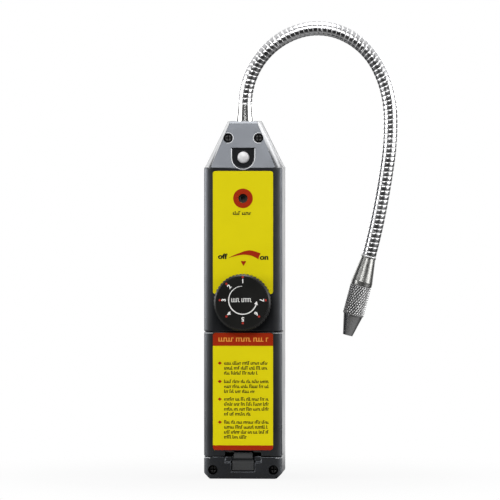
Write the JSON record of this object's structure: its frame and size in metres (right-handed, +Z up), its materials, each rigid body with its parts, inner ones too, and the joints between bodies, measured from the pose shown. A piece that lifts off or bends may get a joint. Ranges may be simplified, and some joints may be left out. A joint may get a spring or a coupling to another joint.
{
  "type": "refrigerant leak detector",
  "caption": "Hand-held refrigerant leak detector: slim plastic case with a sensitivity dial, sounder, lamp and battery door, and a flexible gooseneck that carries a knurled metal sensor nose.",
  "frame": {"origin": "centre of the case's flat foot", "axes": "+Z up the case, the front with its labels faces -Y, +X to the right as seen from the front"},
  "size_m": [0.0959, 0.0439, 0.228],
  "materials": {
    "shell": "satin",
    "label": "satin",
    "knob": "satin",
    "dial": "satin",
    "lamp": "gloss",
    "screw": "satin",
    "plated_steel": "polished",
    "turned_steel": "satin",
    "bright_steel": "satin",
    "ceramic": "matte",
    "board": "satin",
    "ferrite": "matte",
    "winding": "satin",
    "can": "gloss",
    "chip": "matte",
    "control": "satin",
    "sounder": "matte",
    "cell": "gloss"
  },
  "bodies": {
    "case": {"front_shell": "shell", "rear_shell": "shell", "control_label": "label", "case_screws": "screw", "control_body": "control", "indicator_lamp": "lamp", "sounder": "sounder", "circuit_board": "board", "board_screws": "bright_steel", "transformer_core": "ferrite", "transformer_coil": "winding", "capacitors": "can", "logic_chips": "chip", "cell_left": "cell", "cell_right": "cell", "positive_contact": "bright_steel", "negative_contact": "bright_steel", "series_contact": "bright_steel", "spring_left": "bright_steel", "spring_right": "bright_steel", "neck_ferrule": "plated_steel", "neck_link_1": "plated_steel"},
    "door": {"battery_door": "shell", "instruction_label": "label"},
    "knob": {"sensitivity_knob": "knob", "dial_disc": "dial", "control_shaft": "bright_steel"},
    "neck_2": {"neck_link_2": "plated_steel"},
    "neck_3": {"neck_link_3": "plated_steel"},
    "neck_4": {"neck_link_4": "plated_steel"},
    "neck_5": {"neck_link_5": "plated_steel"},
    "neck_6": {"neck_link_6": "plated_steel"},
    "neck_7": {"neck_link_7": "plated_steel"},
    "nose": {"neck_link_8": "plated_steel", "nose_adapter": "turned_steel", "nose_sleeve": "turned_steel", "sensor_insulator": "ceramic", "sensor_electrode": "bright_steel"}
  },
  "joints": [
    {"name": "knob_turn", "type": "hinge", "parent": "case", "child": "knob", "pos_m": [0, -0.0184, 0.088], "axis": [0, 1, 0], "range_deg": [-30, 270]},
    {"name": "door_open", "type": "hinge", "parent": "case", "child": "door", "pos_m": [0, -0.018, 0.0735], "axis": [-1, 0, 0], "range_deg": [0, 45]},
    {"name": "neck_bend_1", "type": "hinge", "parent": "case", "child": "neck_2", "pos_m": [0.00624, 0.0027, 0.20743], "axis": [0, -1, 0], "range_deg": [-5, 20]},
    {"name": "neck_bend_2", "type": "hinge", "parent": "neck_2", "child": "neck_3", "pos_m": [0.02465, 0.0027, 0.22221], "axis": [0, -1, 0], "range_deg": [-5, 20]},
    {"name": "neck_bend_3", "type": "hinge", "parent": "neck_3", "child": "neck_4", "pos_m": [0.04809, 0.0027, 0.22213], "axis": [0, -1, 0], "range_deg": [-5, 20]},
    {"name": "neck_bend_4", "type": "hinge", "parent": "neck_4", "child": "neck_5", "pos_m": [0.06586, 0.0027, 0.20666], "axis": [0, -1, 0], "range_deg": [-5, 20]},
    {"name": "neck_bend_5", "type": "hinge", "parent": "neck_5", "child": "neck_6", "pos_m": [0.07261, 0.0027, 0.18382], "axis": [0.9977, 0, 0.0685], "range_deg": [-20, 20]},
    {"name": "neck_bend_6", "type": "hinge", "parent": "neck_6", "child": "neck_7", "pos_m": [0.07169, 0.0027, 0.15987], "axis": [0.9921, 0, -0.1258], "range_deg": [-20, 20]},
    {"name": "neck_bend_7", "type": "hinge", "parent": "neck_7", "child": "nose", "pos_m": [0.06784, 0.0027, 0.13619], "axis": [0.9824, 0, -0.1868], "range_deg": [-20, 20]}
  ]
}
